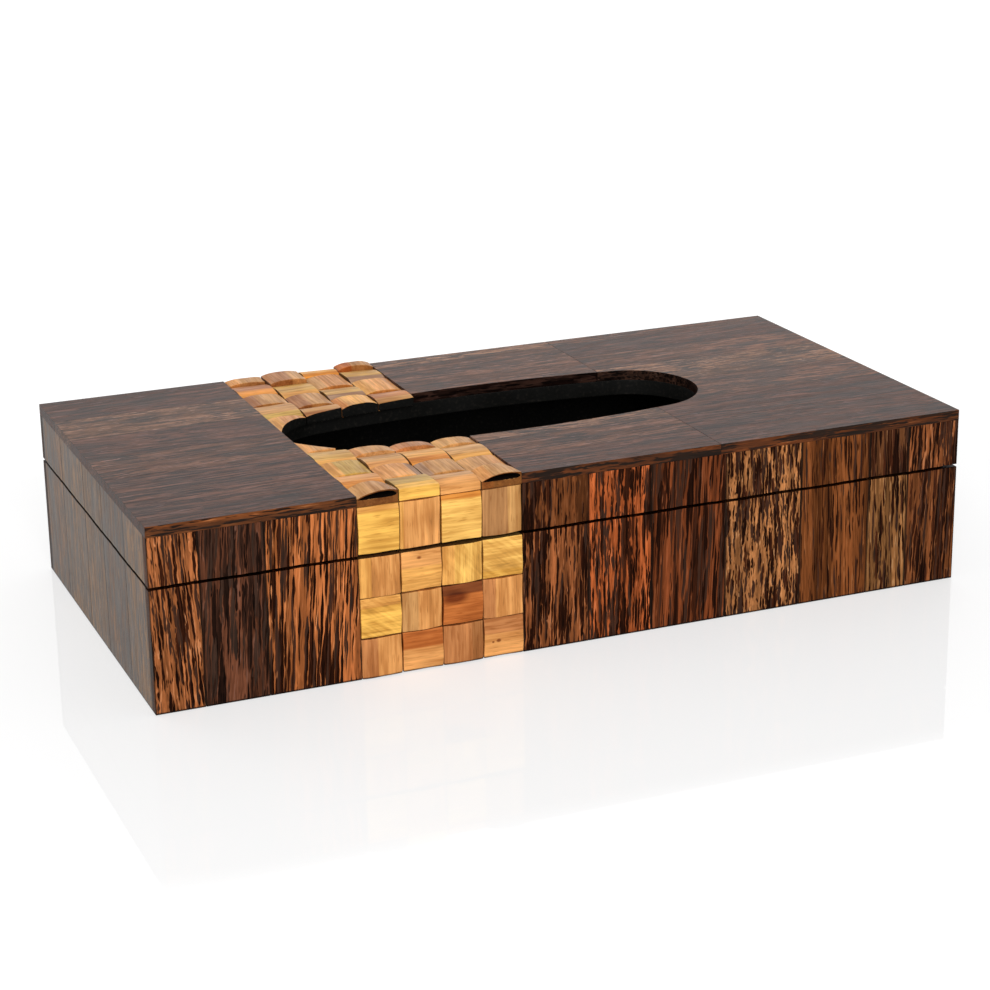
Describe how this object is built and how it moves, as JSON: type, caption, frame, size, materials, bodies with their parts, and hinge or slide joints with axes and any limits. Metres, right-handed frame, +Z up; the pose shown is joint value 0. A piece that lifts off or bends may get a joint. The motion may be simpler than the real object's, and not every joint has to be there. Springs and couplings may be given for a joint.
{
  "type": "tissue box cover",
  "caption": "Long wooden tissue box with a hinged lid, an oval pull slot and a band of small arched tiles over dark palm-wood strips.",
  "frame": {"origin": "centre of the resting face, midway between the ends and between the clad front and back", "axes": "+Z up, +X along the box to the right as seen from the front, +Y to the hinged back"},
  "size_m": [0.28, 0.1447, 0.0615],
  "materials": {
    "palm_wood": "satin lacquer",
    "tile_wood": "satin lacquer",
    "painted_core": "matt black paint",
    "brass": "polished"
  },
  "bodies": {
    "base": {"base_back_strips_left": "palm_wood", "base_back_strips_right": "palm_wood", "base_back_tiles_row_1": "tile_wood", "base_back_tiles_row_2": "tile_wood", "base_back_tiles_row_3": "tile_wood", "base_back_wall": "painted_core", "base_bottom_panel": "painted_core", "base_front_strips_left": "palm_wood", "base_front_strips_right": "palm_wood", "base_front_tiles_row_1": "tile_wood", "base_front_tiles_row_2": "tile_wood", "base_front_tiles_row_3": "tile_wood", "base_front_wall": "painted_core", "base_left_end_strips": "palm_wood", "base_left_wall": "painted_core", "base_right_end_strips": "palm_wood", "base_right_wall": "painted_core", "hinge_base_screws": "brass", "hinge_left_base_leaf": "brass", "hinge_left_pin": "brass", "hinge_right_base_leaf": "brass", "hinge_right_pin": "brass"},
    "lid": {"hinge_left_lid_leaf": "brass", "hinge_lid_screws": "brass", "hinge_right_lid_leaf": "brass", "lid_back_strips_left": "palm_wood", "lid_back_strips_right": "palm_wood", "lid_back_tiles": "tile_wood", "lid_back_wall": "painted_core", "lid_front_strips_left": "palm_wood", "lid_front_strips_right": "palm_wood", "lid_front_tiles": "tile_wood", "lid_front_wall": "painted_core", "lid_left_end_strips": "palm_wood", "lid_left_wall": "painted_core", "lid_right_end_strips": "palm_wood", "lid_right_wall": "painted_core", "lid_top_panel": "painted_core", "lid_top_strips_inner": "palm_wood", "lid_top_strips_left": "palm_wood", "lid_top_strips_outer": "palm_wood", "lid_top_tiles_back_1": "tile_wood", "lid_top_tiles_back_2": "tile_wood", "lid_top_tiles_back_3": "tile_wood", "lid_top_tiles_back_4": "tile_wood", "lid_top_tiles_front_1": "tile_wood", "lid_top_tiles_front_2": "tile_wood", "lid_top_tiles_front_3": "tile_wood", "lid_top_tiles_front_4": "tile_wood"}
  },
  "joints": [
    {"name": "lid_hinge", "type": "hinge", "parent": "base", "child": "lid", "pos_m": [0, 0.0722, 0.0404], "axis": [-1, 0, 0], "range_deg": [0, 180]}
  ]
}
